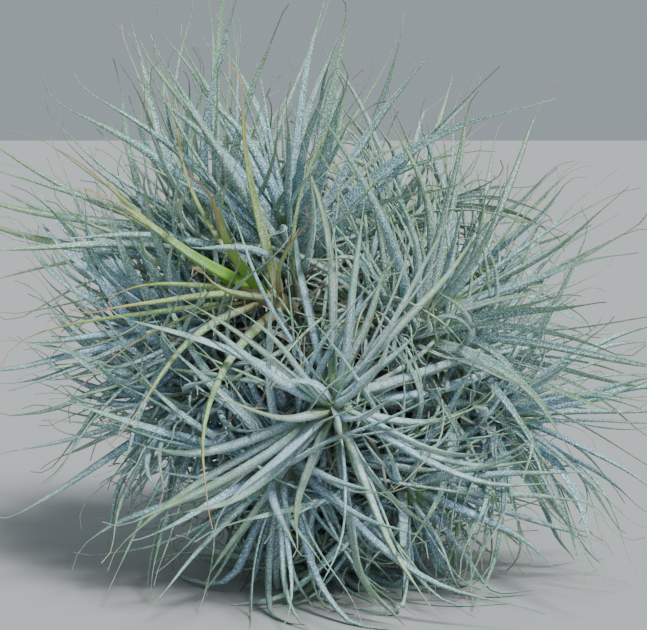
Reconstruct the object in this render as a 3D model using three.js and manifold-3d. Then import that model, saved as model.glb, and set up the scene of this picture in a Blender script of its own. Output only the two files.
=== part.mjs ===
// An air plant: a ball of silvery, narrow-leaved rosettes grown from old woody
// stems, lying on its lowest rosette. Millimetres, +Z up, the front faces -Y.
// The origin is the middle of the flat spot under the lowest rosette.
import * as THREE from "three";
import { mergeVertices } from "three/addons/utils/BufferGeometryUtils.js";
import Module from "manifold-3d";

// The clump
const BALL_HEIGHT = 92; // middle of the ball above the surface it lies on
const NEIGHBOUR_GAP = 0.45; // clear air between pieces that are not fused
const SHOULDER_GAP = 0.6; // clear air between an old stem's end and its rosette
const OWN_ROOM = 0.8; // share of their radii that a rosette's own leaves keep apart
const OLD_WOOD = -1; // the owner of stems and dried leaves, which no rosette owns

// A leaf's solid
const LEAF_STEPS = 4; // straight lengths along a leaf
const LEAF_SIDES = 3; // two edges above and a keel below
const BASE_HALF_WIDTH = 2.4;
const TIP_HALF_WIDTH = 0.42;
const TAPER = 0.65; // above 1 a leaf narrows faster near its base
const KEEL_SHARE = 0.72; // a leaf's depth as a share of its half width
const LEAST_DEPTH = 0.62; // of a leaf at its thinnest
const ABOVE_LINE = 0.4; // share of a leaf's depth above its middle line
const REACH = 1.04; // how far a leaf's edges lie from its middle line, in half widths
const LYING_SHARE = 0.55; // height of a lying leaf's middle line, in half widths
const LEAST_LYING = 0.42;

// How leaves grow, from a rosette's youngest to its oldest
const TURN = 137.5; // degrees from each leaf to the next one up the stem
const ROOT_ANGLE = [12, 72]; // degrees between a leaf's root and the rosette's axis
const OPENS_EARLY = 0.7; // below 1 the leaves open soon below the heart
const BEND = [20, 58]; // degrees that a leaf bends further out by its tip
const BEND_LATE = [0.8, 1.8]; // above 1 a leaf bends most near its tip
const LENGTH_SHARE = [0.6, 1]; // of the rosette's longest leaf
const WIDTH_SHARE = [0.82, 1.05];
const VARY = { length: 0.13, angle: 7, bend: 26, sweep: 0.55, twist: 35, lift: 0.12, width: 0.08 };

// A rosette's leafy stem
const STEM_LENGTH = 20; // from its foot to its heart
const STEM_RADIUS = 4.2;
const STEM_SIDES = 5;
const FOOT_LENGTH = 3; // the rounded foot below the lowest leaf
const HEART_LENGTH = 7; // the bud of young leaves above the heart
const HEART_RADIUS = 2.6;
const OLDEST_ROOT = 0.86; // how far down the stem the oldest leaf is rooted
const YOUNGEST_ROOT = 1; // how far above the heart the youngest is
const ROOT_OFFSET = 0.3; // from the axis, in stem radii

// The old stems, and the dried leaves on them
const KNOT_RADIUS = 11;
const BRANCH_RADIUS = 2.6;
const BRANCH_SIDES = 4;
const BRANCH_STEPS = 2;
const BRANCH_START = 0.7; // where a stem starts in the knot, in its radii
const BRANCH_BOW = 0.4; // share of its length that a stem follows its rosette's axis
const DRY_LEAVES = 20;
const DRY_LENGTH = 44;
const DRY_HALF_WIDTH = 1.7;
const DRY_ROOT = [0.35, 0.85]; // where it grows along its stem
const DRY_DROOP = -0.4;
const DRY_VARY = { length: 0.25, angle: 25, bend: 70, sweep: 1.1, twist: 80 };
const DRY_ANGLE = 55;
const DRY_SKIP = 7; // each dried leaf grows this many stems on from the last

// How a leaf is moved when it would meet a neighbour: turned, opened and swept
// a little more with every try, then shortened
const TRIES = 26;
const TURN_NUDGE = 2.2; // degrees
const ANGLE_NUDGE = 1.32;
const SWEEP_NUDGE = 0.015;
const SHORTENINGS = 3;
const SHORTER = 0.86;

const SILVER = { color: "#99aaa0", roughness: 0.72, metalness: 0 };
const YELLOW_GREEN = { color: "#8c9445", roughness: 0.68, metalness: 0 };
const WOODY = { color: "#6b5742", roughness: 0.85, metalness: 0 };

// Each rosette: its heart from the middle of the ball, the way it faces, the
// length of its longest leaves and how many it has. Some have wider leaves than
// usual, open less wide, have leaves that lift at their tips (or droop, below zero),
// or curl further out by their tips, by so many degrees.
const ROSETTES = [
  { name: "front", heart: [3, -72, -18], face: [0, -10, 0],
    long: 86, leaves: 19, wide: 1.2, lift: 0.4 },
  { name: "lower_left", heart: [-17, -49, -44], face: [-6, -8, -3],
    long: 96, leaves: 20, wide: 1.02, lift: 0.05 },
  { name: "lower_right", heart: [30, -43, -52], face: [4, -7, -5],
    long: 82, leaves: 17, lift: -0.15 },
  { name: "right", heart: [66, -30, -28], face: [8, -5, -1],
    long: 84, leaves: 15, wide: 0.92, open: 0.72, lift: -0.35 },
  { name: "upper_right", heart: [40, -41, 11], face: [7, -4, 6],
    long: 98, leaves: 16, wide: 0.95, open: 0.62, lift: 0.3 },
  { name: "top", heart: [-13, -25, 39], face: [-1, -3, 10],
    long: 102, leaves: 17, wide: 1.2, open: 0.5, lift: 0.25 },
  { name: "upper_left", heart: [-44, -6, 38], face: [-7, -2, 7],
    long: 104, leaves: 17, open: 0.68, lift: 0.7 },
  { name: "left", heart: [-56, -16, 5], face: [-9, -3, 1],
    long: 90, leaves: 16, open: 0.68, lift: 0.7 },
  { name: "left_low", heart: [-52, -18, -22], face: [-9, -4, -2],
    long: 84, leaves: 16, open: 0.72, lift: 0.45 },
  { name: "pale", heart: [-26, -50, 20], face: [-8, -6, 4],
    long: 92, leaves: 12, wide: 0.72, open: 0.62, lift: 0.1, pale: true },
  { name: "top_right", heart: [27, 2, 45], face: [3, -2, 9],
    long: 78, leaves: 12, wide: 0.8, open: 0.85, curl: 30 },
  { name: "right_high", heart: [57, 13, 20], face: [9, 2, 5],
    long: 76, leaves: 13, wide: 0.9, lift: 0.3 },
  { name: "right_middle", heart: [54, -41, -5], face: [9, -5, 1],
    long: 68, leaves: 12, wide: 0.8, lift: 0.4 },
  { name: "bottom_left", heart: [-33, -5, -37], face: [-7, -1, -6],
    long: 78, leaves: 12, wide: 0.95, lift: 0.2 },
  { name: "bottom", heart: [0, 0, -91.2], face: [0, 0, -1],
    long: 66, leaves: 13 },
  { name: "bottom_right", heart: [38, 2, -55], face: [6, 2, -8],
    long: 70, leaves: 11, wide: 0.95 },
  { name: "back_top", heart: [-2, 37, 44], face: [-1, 6, 8],
    long: 74, leaves: 12, lift: 0.3 },
  { name: "back_left_high", heart: [-38, 34, 20], face: [-7, 7, 3],
    long: 74, leaves: 12, lift: 0.4 },
  { name: "back_right_high", heart: [36, 44, 14], face: [6, 8, 3],
    long: 74, leaves: 12, lift: 0.4 },
  { name: "back", heart: [-4, 60, -2], face: [-1, 10, 1],
    long: 78, leaves: 13, lift: 0.3 },
  { name: "back_left_low", heart: [-44, 32, -18], face: [-8, 6, -3],
    long: 74, leaves: 12, lift: 0.4 },
  { name: "back_right_low", heart: [48, 36, -26], face: [8, 6, -2],
    long: 74, leaves: 12, lift: 0.2 },
  { name: "back_low", heart: [4, 48, -44], face: [1, 8, -6],
    long: 74, leaves: 12 },
  { name: "under_left", heart: [-24, 26, -56], face: [-5, 3, -8],
    long: 66, leaves: 12, wide: 0.95 },
  { name: "middle", heart: [15, -43, 18], face: [1, -5, 7],
    long: 70, leaves: 11, wide: 0.75, curl: 60 },
];

// A number from 0 to 1 that is always the same for the same seed.
function chance(seed) {
  const wave = Math.sin(seed * 127.1 + 311.7) * 43758.5453;
  return wave - Math.floor(wave);
}

// A number from -1 to 1.
function swing(seed) {
  return 2 * chance(seed) - 1;
}

function mix(range, share) {
  return range[0] + (range[1] - range[0]) * share;
}

function radians(degrees) {
  return THREE.MathUtils.degToRad(degrees);
}

// A direction square to the one given, the same one every time.
function sideOf(direction) {
  const upright = Math.abs(direction.z) > 0.9;
  const helper = upright ? new THREE.Vector3(1, 0, 0) : new THREE.Vector3(0, 0, 1);
  return new THREE.Vector3().crossVectors(helper, direction).normalize();
}

// The point a way along an axis from a start.
function pointAlong(start, axis, way) {
  return start.clone().addScaledVector(axis, way);
}

// The half width of a leaf at a share of its length.
function halfWidth(leaf, share) {
  return mix([TIP_HALF_WIDTH, leaf.halfWidth], Math.pow(1 - share, TAPER));
}

// How low the middle line of a leaf may lie: its underside just meets the surface.
function lyingHeight(leaf, share) {
  return Math.max(LYING_SHARE * halfWidth(leaf, share), LEAST_LYING);
}

// Brings the end of a step up to the lowest height, and keeps the step's length.
function layDown(from, to, lowest, step, out) {
  const flat = new THREE.Vector2(to.x - from.x, to.y - from.y);
  if (flat.length() < 0.2 * step) {
    flat.set(out.x, out.y);
  }
  const drop = Math.max(from.z - lowest, 0);
  flat.setLength(Math.sqrt(Math.max(step * step - drop * drop, 0.1 * step * step)));
  to.set(from.x + flat.x, from.y + flat.y, lowest);
}

// The line that a leaf grows along, and its upper side's direction at each point.
// It leaves its stem at an angle to the axis, bends away from it, sweeps to one
// side, lifts or droops, and lies along the surface where it reaches that.
function growLeaf(leaf) {
  const points = [leaf.root.clone()];
  const uppers = [];
  const out = leaf.side.clone().applyAxisAngle(leaf.axis, leaf.turn);
  const across = new THREE.Vector3().crossVectors(leaf.axis, out);
  const step = leaf.length / LEAF_STEPS;
  const upper = leaf.axis.clone().multiplyScalar(Math.sin(leaf.angle));
  upper.addScaledVector(out, -Math.cos(leaf.angle));
  for (let k = 0; k < LEAF_STEPS; k += 1) {
    const share = (k + 0.5) / LEAF_STEPS;
    const angle = leaf.angle + leaf.bend * Math.pow(share, leaf.bendLate);
    const along = leaf.axis.clone().multiplyScalar(Math.cos(angle));
    along.addScaledVector(out, Math.sin(angle));
    along.addScaledVector(across, leaf.sweep * share);
    along.z += leaf.lift * share * share;
    along.normalize();
    const next = pointAlong(points[k], along, step);
    const lowest = lyingHeight(leaf, (k + 1) / LEAF_STEPS);
    if (next.z < lowest) {
      layDown(points[k], next, lowest, step, out);
      along.subVectors(next, points[k]).normalize();
    }
    upper.addScaledVector(along, -upper.dot(along)).normalize();
    upper.applyAxisAngle(along, leaf.twist / LEAF_STEPS);
    uppers.push(upper.clone());
    points.push(next);
  }
  uppers.push(upper.clone());
  return { points, uppers };
}

// The straight lengths of a line as round-ended rods.
function rodsOf(points, radiusAt, owner) {
  const rods = [];
  for (let k = 0; k + 1 < points.length; k += 1) {
    const radius = Math.max(radiusAt(k), radiusAt(k + 1));
    rods.push({ from: points[k], to: points[k + 1], radius, owner, place: k });
  }
  return rods;
}

// The shortest distance between the middle lines of two rods.
function rodDistance(a, b) {
  const alongA = new THREE.Vector3().subVectors(a.to, a.from);
  const alongB = new THREE.Vector3().subVectors(b.to, b.from);
  const between = new THREE.Vector3().subVectors(a.from, b.from);
  const squareA = alongA.dot(alongA);
  const squareB = alongB.dot(alongB);
  const both = alongA.dot(alongB);
  const nearA = alongA.dot(between);
  const nearB = alongB.dot(between);
  const spread = squareA * squareB - both * both;
  const parallel = spread < 1e-9;
  let shareA = parallel ? 0 : THREE.MathUtils.clamp((both * nearB - nearA * squareB) / spread, 0, 1);
  let shareB = (both * shareA + nearB) / squareB;
  if (shareB < 0 || shareB > 1) {
    shareB = THREE.MathUtils.clamp(shareB, 0, 1);
    shareA = THREE.MathUtils.clamp((both * shareB - nearA) / squareA, 0, 1);
  }
  return pointAlong(a.from, alongA, shareA).distanceTo(pointAlong(b.from, alongB, shareB));
}

// The distance that two rods need. Leaves of one rosette are fused, so their
// first lengths may meet, and further out they only don't run through each other.
function roomBetween(a, b) {
  if (a.owner !== b.owner) {
    return a.radius + b.radius + NEIGHBOUR_GAP;
  }
  return a.place < 1 || b.place < 1 ? 0 : OWN_ROOM * (a.radius + b.radius);
}

function isClear(rods, placed) {
  return rods.every((rod) => placed.every((other) => rodDistance(rod, other) >= roomBetween(rod, other)));
}

// Grows a leaf where it is clear of what is placed, or gives nothing.
function placeLeaf(leaf, placed) {
  const first = { ...leaf };
  for (let cut = 0; cut < SHORTENINGS; cut += 1) {
    for (let tried = 0; tried < TRIES; tried += 1) {
      const seed = leaf.seed * 97 + cut * 31 + tried * 7;
      leaf.turn = first.turn + radians(TURN_NUDGE) * tried * swing(seed + 1);
      leaf.angle = first.angle + radians(ANGLE_NUDGE) * tried * swing(seed + 2);
      leaf.sweep = first.sweep + SWEEP_NUDGE * tried * swing(seed + 3);
      const grown = growLeaf(leaf);
      const rods = rodsOf(grown.points, (k) => REACH * halfWidth(leaf, k / LEAF_STEPS), leaf.owner);
      if (isClear(rods, placed)) {
        placed.push(...rods);
        return grown;
      }
    }
    leaf.length *= SHORTER;
  }
  return null;
}

// A rosette's leaf, the oldest first. Old ones are long, wide open and bent
// back, and young ones short and steep.
function leafOf(rosette, owner, index) {
  const age = 1 - index / (rosette.leaves - 1);
  const seed = owner * 1000 + index * 11;
  const turn = index * radians(TURN) + owner;
  const out = rosette.side.clone().applyAxisAngle(rosette.axis, turn);
  const root = pointAlong(rosette.heart, rosette.axis, YOUNGEST_ROOT - STEM_LENGTH * OLDEST_ROOT * age);
  const usualWidth = BASE_HALF_WIDTH * rosette.wide * mix(WIDTH_SHARE, age);
  const usualLength = rosette.long * mix(LENGTH_SHARE, Math.sqrt(age));
  const usualAngle = rosette.open * mix(ROOT_ANGLE, Math.pow(age, OPENS_EARLY));
  const usualBend = rosette.open * mix(BEND, age) + rosette.curl;
  return {
    owner,
    seed,
    axis: rosette.axis,
    side: rosette.side,
    root: pointAlong(root, out, ROOT_OFFSET * STEM_RADIUS),
    turn,
    length: usualLength * (1 + VARY.length * swing(seed + 5)),
    angle: radians(usualAngle + VARY.angle * swing(seed + 6)),
    bend: radians(usualBend + VARY.bend * swing(seed + 7)),
    bendLate: mix(BEND_LATE, chance(seed + 8)),
    sweep: VARY.sweep * swing(seed + 9),
    twist: radians(VARY.twist * swing(seed + 10)),
    lift: rosette.lift + VARY.lift * swing(seed + 12),
    halfWidth: usualWidth * (1 + VARY.width * swing(seed + 13)),
  };
}

// A dried leaf, rooted part way along an old stem, hanging and curled.
function dryLeafOf(stemLines, index) {
  const seed = 90000 + index * 13;
  const line = stemLines[(index * DRY_SKIP) % stemLines.length];
  const at = mix(DRY_ROOT, chance(seed));
  const axis = line.getTangent(at);
  return {
    owner: OLD_WOOD,
    seed,
    axis,
    side: sideOf(axis),
    root: line.getPoint(at),
    turn: 2 * Math.PI * chance(seed + 1),
    length: DRY_LENGTH * (1 + DRY_VARY.length * swing(seed + 2)),
    angle: radians(DRY_ANGLE + DRY_VARY.angle * swing(seed + 3)),
    bend: radians(DRY_VARY.bend * swing(seed + 4)),
    bendLate: 1,
    sweep: DRY_VARY.sweep * swing(seed + 5),
    twist: radians(DRY_VARY.twist * swing(seed + 6)),
    lift: DRY_DROOP,
    halfWidth: DRY_HALF_WIDTH,
  };
}

// A geometry with its shared corners merged.
function bare(geometry) {
  geometry.deleteAttribute("normal");
  geometry.deleteAttribute("uv");
  return mergeVertices(geometry, 1e-5);
}

// Where a corner of a leaf's section lies round the leaf's line.
function sectionCorner(leaf, grown, k, corner) {
  const width = halfWidth(leaf, k / LEAF_STEPS);
  const depth = Math.max(KEEL_SHARE * width, LEAST_DEPTH);
  const before = grown.points[Math.max(k - 1, 0)];
  const after = grown.points[Math.min(k + 1, LEAF_STEPS)];
  const along = new THREE.Vector3().subVectors(after, before).normalize();
  const upper = grown.uppers[k].clone();
  upper.addScaledVector(along, -upper.dot(along)).normalize();
  const across = new THREE.Vector3().crossVectors(upper, along);
  const toEdge = corner.x / Math.sin(Math.PI / LEAF_SIDES);
  const toKeel = (corner.z + 0.5) / 1.5;
  const beside = pointAlong(grown.points[k], across, toEdge * width);
  return pointAlong(beside, upper, depth * (ABOVE_LINE - toKeel));
}

// One leaf as a closed solid: a long three-sided spike bent onto its line.
function leafSolid(leaf, grown) {
  const spike = bare(new THREE.ConeGeometry(1, 1, LEAF_SIDES, LEAF_STEPS));
  const position = spike.getAttribute("position");
  for (let i = 0; i < position.count; i += 1) {
    const corner = new THREE.Vector3().fromBufferAttribute(position, i);
    const k = Math.round((corner.y + 0.5) * LEAF_STEPS);
    corner.y = 0;
    const onLine = corner.length() < 1e-6;
    const place = onLine ? grown.points[k] : sectionCorner(leaf, grown, k, corner.normalize());
    position.setXYZ(i, place.x, place.y, place.z);
  }
  return spike;
}

// A rosette's own stem and heart bud, turned about its axis.
function leafyStem(rosette) {
  const profile = [
    new THREE.Vector2(0, -STEM_LENGTH - FOOT_LENGTH),
    new THREE.Vector2(0.75 * STEM_RADIUS, 1 - STEM_LENGTH - FOOT_LENGTH),
    new THREE.Vector2(STEM_RADIUS, -0.6 * STEM_LENGTH),
    new THREE.Vector2(HEART_RADIUS, 0),
    new THREE.Vector2(0, HEART_LENGTH),
  ];
  const stem = new THREE.LatheGeometry(profile, STEM_SIDES);
  const upright = new THREE.Vector3(0, 1, 0);
  stem.applyQuaternion(new THREE.Quaternion().setFromUnitVectors(upright, rosette.axis));
  stem.translate(rosette.heart.x, rosette.heart.y, rosette.heart.z);
  return bare(stem);
}

// The middle line of an old stem, from the knot to just short of a rosette. It
// ends along the rosette's axis.
function branchLine(rosette) {
  const middle = new THREE.Vector3(0, 0, BALL_HEIGHT);
  const end = pointAlong(rosette.heart, rosette.axis, -STEM_LENGTH - FOOT_LENGTH - SHOULDER_GAP);
  const start = middle.clone().lerp(end, (BRANCH_START * KNOT_RADIUS) / middle.distanceTo(end));
  const bow = pointAlong(end, rosette.axis, -BRANCH_BOW * start.distanceTo(end));
  return new THREE.QuadraticBezierCurve3(start, bow, end);
}

function branchSolid(line) {
  const corners = [];
  for (let i = 0; i < BRANCH_SIDES; i += 1) {
    const angle = (i / BRANCH_SIDES) * 2 * Math.PI;
    corners.push(new THREE.Vector2(BRANCH_RADIUS * Math.cos(angle), BRANCH_RADIUS * Math.sin(angle)));
  }
  const options = { steps: BRANCH_STEPS, bevelEnabled: false, extrudePath: line };
  return bare(new THREE.ExtrudeGeometry(new THREE.Shape(corners), options));
}

// The knot in the middle, from which the old stems branched.
function knotSolid() {
  const knot = bare(new THREE.IcosahedronGeometry(KNOT_RADIUS, 0));
  knot.translate(0, 0, BALL_HEIGHT);
  return knot;
}

const wasm = await Module();
wasm.setup();

function toSolid(geometry) {
  const vertProperties = new Float32Array(geometry.getAttribute("position").array);
  const triVerts = new Uint32Array(geometry.getIndex().array);
  return new wasm.Manifold(new wasm.Mesh({ numProp: 3, vertProperties, triVerts }));
}

function fuse(geometries) {
  return geometries.map(toSolid).reduce((whole, piece) => whole.add(piece));
}

// Everything below the surface that the clump lies on.
function belowSurface() {
  const depth = 60;
  const span = 600;
  const block = new THREE.BoxGeometry(span, span, depth);
  block.translate(0, 0, -depth / 2);
  return toSolid(bare(block));
}

function toMesh(name, solid, finish) {
  const { vertProperties, triVerts } = solid.getMesh();
  const geometry = new THREE.BufferGeometry();
  geometry.setAttribute("position", new THREE.BufferAttribute(vertProperties, 3));
  geometry.setIndex(new THREE.BufferAttribute(triVerts, 1));
  geometry.computeVertexNormals();
  const mesh = new THREE.Mesh(geometry, new THREE.MeshStandardMaterial(finish));
  mesh.name = name;
  return mesh;
}

const rosettes = ROSETTES.map((row) => {
  const axis = new THREE.Vector3(...row.face).normalize();
  const heart = new THREE.Vector3(...row.heart);
  heart.z += BALL_HEIGHT;
  return { wide: 1, open: 1, lift: 0, curl: 0, ...row, axis, heart, side: sideOf(axis) };
});

// What is placed first, and leaves then keep clear of
const stemLines = rosettes.map(branchLine);
const placed = stemLines.flatMap((line) => {
  return rodsOf(line.getSpacedPoints(BRANCH_STEPS), () => BRANCH_RADIUS, OLD_WOOD);
});
rosettes.forEach((rosette, owner) => {
  const foot = pointAlong(rosette.heart, rosette.axis, STEM_RADIUS - STEM_LENGTH - FOOT_LENGTH);
  const bud = pointAlong(rosette.heart, rosette.axis, HEART_LENGTH - HEART_RADIUS);
  placed.push(...rodsOf([foot, bud], () => STEM_RADIUS, owner));
});

// The leaves take their places in turn, the oldest of every rosette first
const pieces = rosettes.map((rosette) => [leafyStem(rosette)]);
const mostLeaves = Math.max(...rosettes.map((rosette) => rosette.leaves));
for (let index = 0; index < mostLeaves; index += 1) {
  rosettes.forEach((rosette, owner) => {
    const leaf = index < rosette.leaves ? leafOf(rosette, owner, index) : null;
    const grown = leaf ? placeLeaf(leaf, placed) : null;
    if (grown) {
      pieces[owner].push(leafSolid(leaf, grown));
    }
  });
}

const oldWood = [knotSolid(), ...stemLines.map(branchSolid)];
for (let index = 0; index < DRY_LEAVES; index += 1) {
  const leaf = dryLeafOf(stemLines, index);
  const grown = placeLeaf(leaf, placed);
  if (grown) {
    oldWood.push(leafSolid(leaf, grown));
  }
}

const clump = new THREE.Group();
const below = belowSurface();
rosettes.forEach((rosette, owner) => {
  const solid = fuse(pieces[owner]).subtract(below);
  clump.add(toMesh(`rosette_${rosette.name}`, solid, rosette.pale ? YELLOW_GREEN : SILVER));
});
clump.add(toMesh("old_stems", fuse(oldWood).subtract(below), WOODY));

export default clump;
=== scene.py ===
# An air plant: a ball of silvery, narrow-leaved rosettes grown from old woody
# stems. Its leaves grow by the rule that the solids' leaves grow by, worked out
# in millimetres, and further leaves fill in between them.
import math

import bmesh
import bpy
import numpy as np
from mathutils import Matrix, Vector


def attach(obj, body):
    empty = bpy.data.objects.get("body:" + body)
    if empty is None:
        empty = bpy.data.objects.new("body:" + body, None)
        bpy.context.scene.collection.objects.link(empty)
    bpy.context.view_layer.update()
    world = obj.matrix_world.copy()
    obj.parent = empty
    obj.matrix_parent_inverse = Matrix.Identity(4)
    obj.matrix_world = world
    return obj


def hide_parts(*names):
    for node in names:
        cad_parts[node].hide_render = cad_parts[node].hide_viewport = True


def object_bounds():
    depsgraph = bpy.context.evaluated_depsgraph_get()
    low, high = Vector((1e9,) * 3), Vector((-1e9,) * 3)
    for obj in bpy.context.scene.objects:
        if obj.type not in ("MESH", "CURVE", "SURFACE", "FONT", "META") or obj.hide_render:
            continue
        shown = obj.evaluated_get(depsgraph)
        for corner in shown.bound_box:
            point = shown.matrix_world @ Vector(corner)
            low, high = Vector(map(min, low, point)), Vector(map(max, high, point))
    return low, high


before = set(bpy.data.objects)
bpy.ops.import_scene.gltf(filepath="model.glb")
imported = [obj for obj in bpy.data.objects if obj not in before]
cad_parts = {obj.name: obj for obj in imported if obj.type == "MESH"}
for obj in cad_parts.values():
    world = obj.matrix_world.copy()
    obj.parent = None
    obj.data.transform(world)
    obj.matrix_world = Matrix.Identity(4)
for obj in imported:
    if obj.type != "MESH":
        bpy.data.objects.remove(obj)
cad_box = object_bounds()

MM = 0.001

# ---- The clump's sizes, as in its solids (millimetres and degrees) ----
BALL_HEIGHT = 92.0
NEIGHBOUR_GAP = 0.45
SHOULDER_GAP = 0.6
OWN_ROOM = 0.8
OLD_WOOD = -1

LEAF_STEPS = 4
BASE_HALF_WIDTH = 2.4
TIP_HALF_WIDTH = 0.42
TAPER = 0.65
REACH = 1.04
LYING_SHARE = 0.55
LEAST_LYING = 0.42

TURN = 137.5
ROOT_ANGLE = (12, 72)
OPENS_EARLY = 0.7
BEND = (20, 58)
BEND_LATE = (0.8, 1.8)
LENGTH_SHARE = (0.6, 1)
WIDTH_SHARE = (0.82, 1.05)
VARY = {"length": 0.13, "angle": 7, "bend": 26, "sweep": 0.55, "twist": 35, "lift": 0.12, "width": 0.08}

STEM_LENGTH = 20
STEM_RADIUS = 4.2
FOOT_LENGTH = 3
HEART_LENGTH = 7
HEART_RADIUS = 2.6
OLDEST_ROOT = 0.86
YOUNGEST_ROOT = 1
ROOT_OFFSET = 0.3

KNOT_RADIUS = 11
BRANCH_RADIUS = 2.6
BRANCH_STEPS = 2
BRANCH_START = 0.7
BRANCH_BOW = 0.4
DRY_LEAVES = 20
DRY_LENGTH = 44
DRY_HALF_WIDTH = 1.7
DRY_ROOT = (0.35, 0.85)
DRY_DROOP = -0.4
DRY_VARY = {"length": 0.25, "angle": 25, "bend": 70, "sweep": 1.1, "twist": 80}
DRY_ANGLE = 55
DRY_SKIP = 7

TRIES = 26
TURN_NUDGE = 2.2
ANGLE_NUDGE = 1.32
SWEEP_NUDGE = 0.015
SHORTENINGS = 3
SHORTER = 0.86

# Heart from the middle of the ball, facing, longest leaf and leaves in the solid, then how wide, open, lifted
# and curled its leaves are
ROSETTE_KEYS = ("name", "heart", "face", "long", "leaves", "wide", "open", "lift", "curl")
ROSETTES = [
    ("front", (3, -72, -18), (0, -10, 0), 86, 19, 1.2, 1, 0.4, 0),
    ("lower_left", (-17, -49, -44), (-6, -8, -3), 96, 20, 1.02, 1, 0.05, 0),
    ("lower_right", (30, -43, -52), (4, -7, -5), 82, 17, 1, 1, -0.15, 0),
    ("right", (66, -30, -28), (8, -5, -1), 84, 15, 0.92, 0.72, -0.35, 0),
    ("upper_right", (40, -41, 11), (7, -4, 6), 98, 16, 0.95, 0.62, 0.3, 0),
    ("top", (-13, -25, 39), (-1, -3, 10), 102, 17, 1.2, 0.5, 0.25, 0),
    ("upper_left", (-44, -6, 38), (-7, -2, 7), 104, 17, 1, 0.68, 0.7, 0),
    ("left", (-56, -16, 5), (-9, -3, 1), 90, 16, 1, 0.68, 0.7, 0),
    ("left_low", (-52, -18, -22), (-9, -4, -2), 84, 16, 1, 0.72, 0.45, 0),
    ("pale", (-26, -50, 20), (-8, -6, 4), 92, 12, 0.72, 0.62, 0.1, 0),
    ("top_right", (27, 2, 45), (3, -2, 9), 78, 12, 0.8, 0.85, 0, 30),
    ("right_high", (57, 13, 20), (9, 2, 5), 76, 13, 0.9, 1, 0.3, 0),
    ("right_middle", (54, -41, -5), (9, -5, 1), 68, 12, 0.8, 1, 0.4, 0),
    ("bottom_left", (-33, -5, -37), (-7, -1, -6), 78, 12, 0.95, 1, 0.2, 0),
    ("bottom", (0, 0, -91.2), (0, 0, -1), 66, 13, 1, 1, 0, 0),
    ("bottom_right", (38, 2, -55), (6, 2, -8), 70, 11, 0.95, 1, 0, 0),
    ("back_top", (-2, 37, 44), (-1, 6, 8), 74, 12, 1, 1, 0.3, 0),
    ("back_left_high", (-38, 34, 20), (-7, 7, 3), 74, 12, 1, 1, 0.4, 0),
    ("back_right_high", (36, 44, 14), (6, 8, 3), 74, 12, 1, 1, 0.4, 0),
    ("back", (-4, 60, -2), (-1, 10, 1), 78, 13, 1, 1, 0.3, 0),
    ("back_left_low", (-44, 32, -18), (-8, 6, -3), 74, 12, 1, 1, 0.4, 0),
    ("back_right_low", (48, 36, -26), (8, 6, -2), 74, 12, 1, 1, 0.2, 0),
    ("back_low", (4, 48, -44), (1, 8, -6), 74, 12, 1, 1, 0, 0),
    ("under_left", (-24, 26, -56), (-5, 3, -8), 66, 12, 0.95, 1, 0, 0),
    ("middle", (15, -43, 18), (1, -5, 7), 70, 11, 0.75, 1, 0, 60),
]

# ---- What only the finished plant has ----
FURTHER_LEAVES = 4.2  # for each leaf of the solid
FURTHER_OF = {
    "front": 1.9, "top": 1.7, "upper_left": 3.4, "upper_right": 3.6, "right": 4.6, "lower_right": 4.8,
    "pale": 0.4, "left": 5.0, "left_low": 5.4, "lower_left": 4.6, "bottom_left": 5.4, "bottom_right": 5.6,
    "top_right": 5.0, "back_top": 3.0, "middle": 6.5,
}
FURTHER_AGE = 1.25  # past 1, older than the solid's oldest leaf
FURTHER_LENGTH = (0.6, 1.04)
FURTHER_WIDTH = (0.3, 0.95)
MOSTLY_NARROW = 1.4
FURTHER_TURN = 1.9  # from the solid's leaves to these
FURTHER_VARY = {"turn": 0.5, "angle": 13, "bend": 32, "sweep": 0.7, "twist": 60, "lift": 0.3}
FURTHER_TRIES = 8
FURTHER_ROOM = 0.35  # share of their radii that these keep from any leaf
BOX_SPARE = 0.6  # between a leaf's line and the solids' box (mm)
LOWEST_LINE = 0.2
LOWEST_MIDDLE = 0.3
ROOM_FOR_RODS = 12000

TONES = (0.15, 0.95)  # from a blue leaf to a yellow-green one
TONES_OF = {
    "top": (0.1, 0.6), "left": (0.05, 0.7), "left_low": (0, 0.5), "lower_left": (0, 0.5),
    "lower_right": (0, 0.5), "right": (0, 0.5), "upper_right": (0.1, 0.8), "middle": (0.5, 1),
    "top_right": (0.5, 1), "pale": (0, 1),
}
THIN_LEAF = 1.1  # half width below which a leaf is greener
GREENER = 0.25
COAT_OF = {  # above zero a closed, even coat of scales, below it a broken one
    "front": 0.6, "top": -0.45, "upper_left": -0.35, "upper_right": -0.35, "right": -0.3,
    "right_middle": -0.3,
}
FRESH_WAY = np.array((-0.7, -0.5, 0.8))
FRESH_LEAVES = 3  # the pale rosette's vivid green ones
FRESH_BROADER = 1.3

BROADER = {"front": 1.12, "top": 1.1, "pale": 1.2}  # than its solid, for a flat blade
BLADE_TAPER = 0.62
TAPER_OF = {"front": 0.52, "pale": 0.85}
FINE_TIP = 0.2  # half width of a leaf's thread-like end
THREAD_START = 0.95  # share of a leaf that is blade
THREAD_SPARE = 0.12
NARROW_FOOT = (0.45, 0.08)  # width at a leaf's root, and the share where it is full
THREAD_TURNS = (0.15, 0.4, 0.55)  # of each length of thread past the solid's leaf
THREAD_LENGTH = 0.05  # of such a length, in leaf lengths
THREAD_LIFT = 0.3
LINE_POINTS = 17  # along a leaf's line, once its waves are on it
WAVE = 2.6  # how far a leaf's end wanders to a side (mm)
WAVE_TURNS = (5.2, 4.1)  # of its waves to a side and upwards, in radians
WAVE_START = 1.7
SAG_OF = {"pale": 7.0}  # how far a level leaf's end hangs (mm)
YOUNG_FADE = 1.6  # how fast a leaf stops being young, with its age
LEAF_RINGS = 16
SECTION_CORNERS = 6
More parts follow.
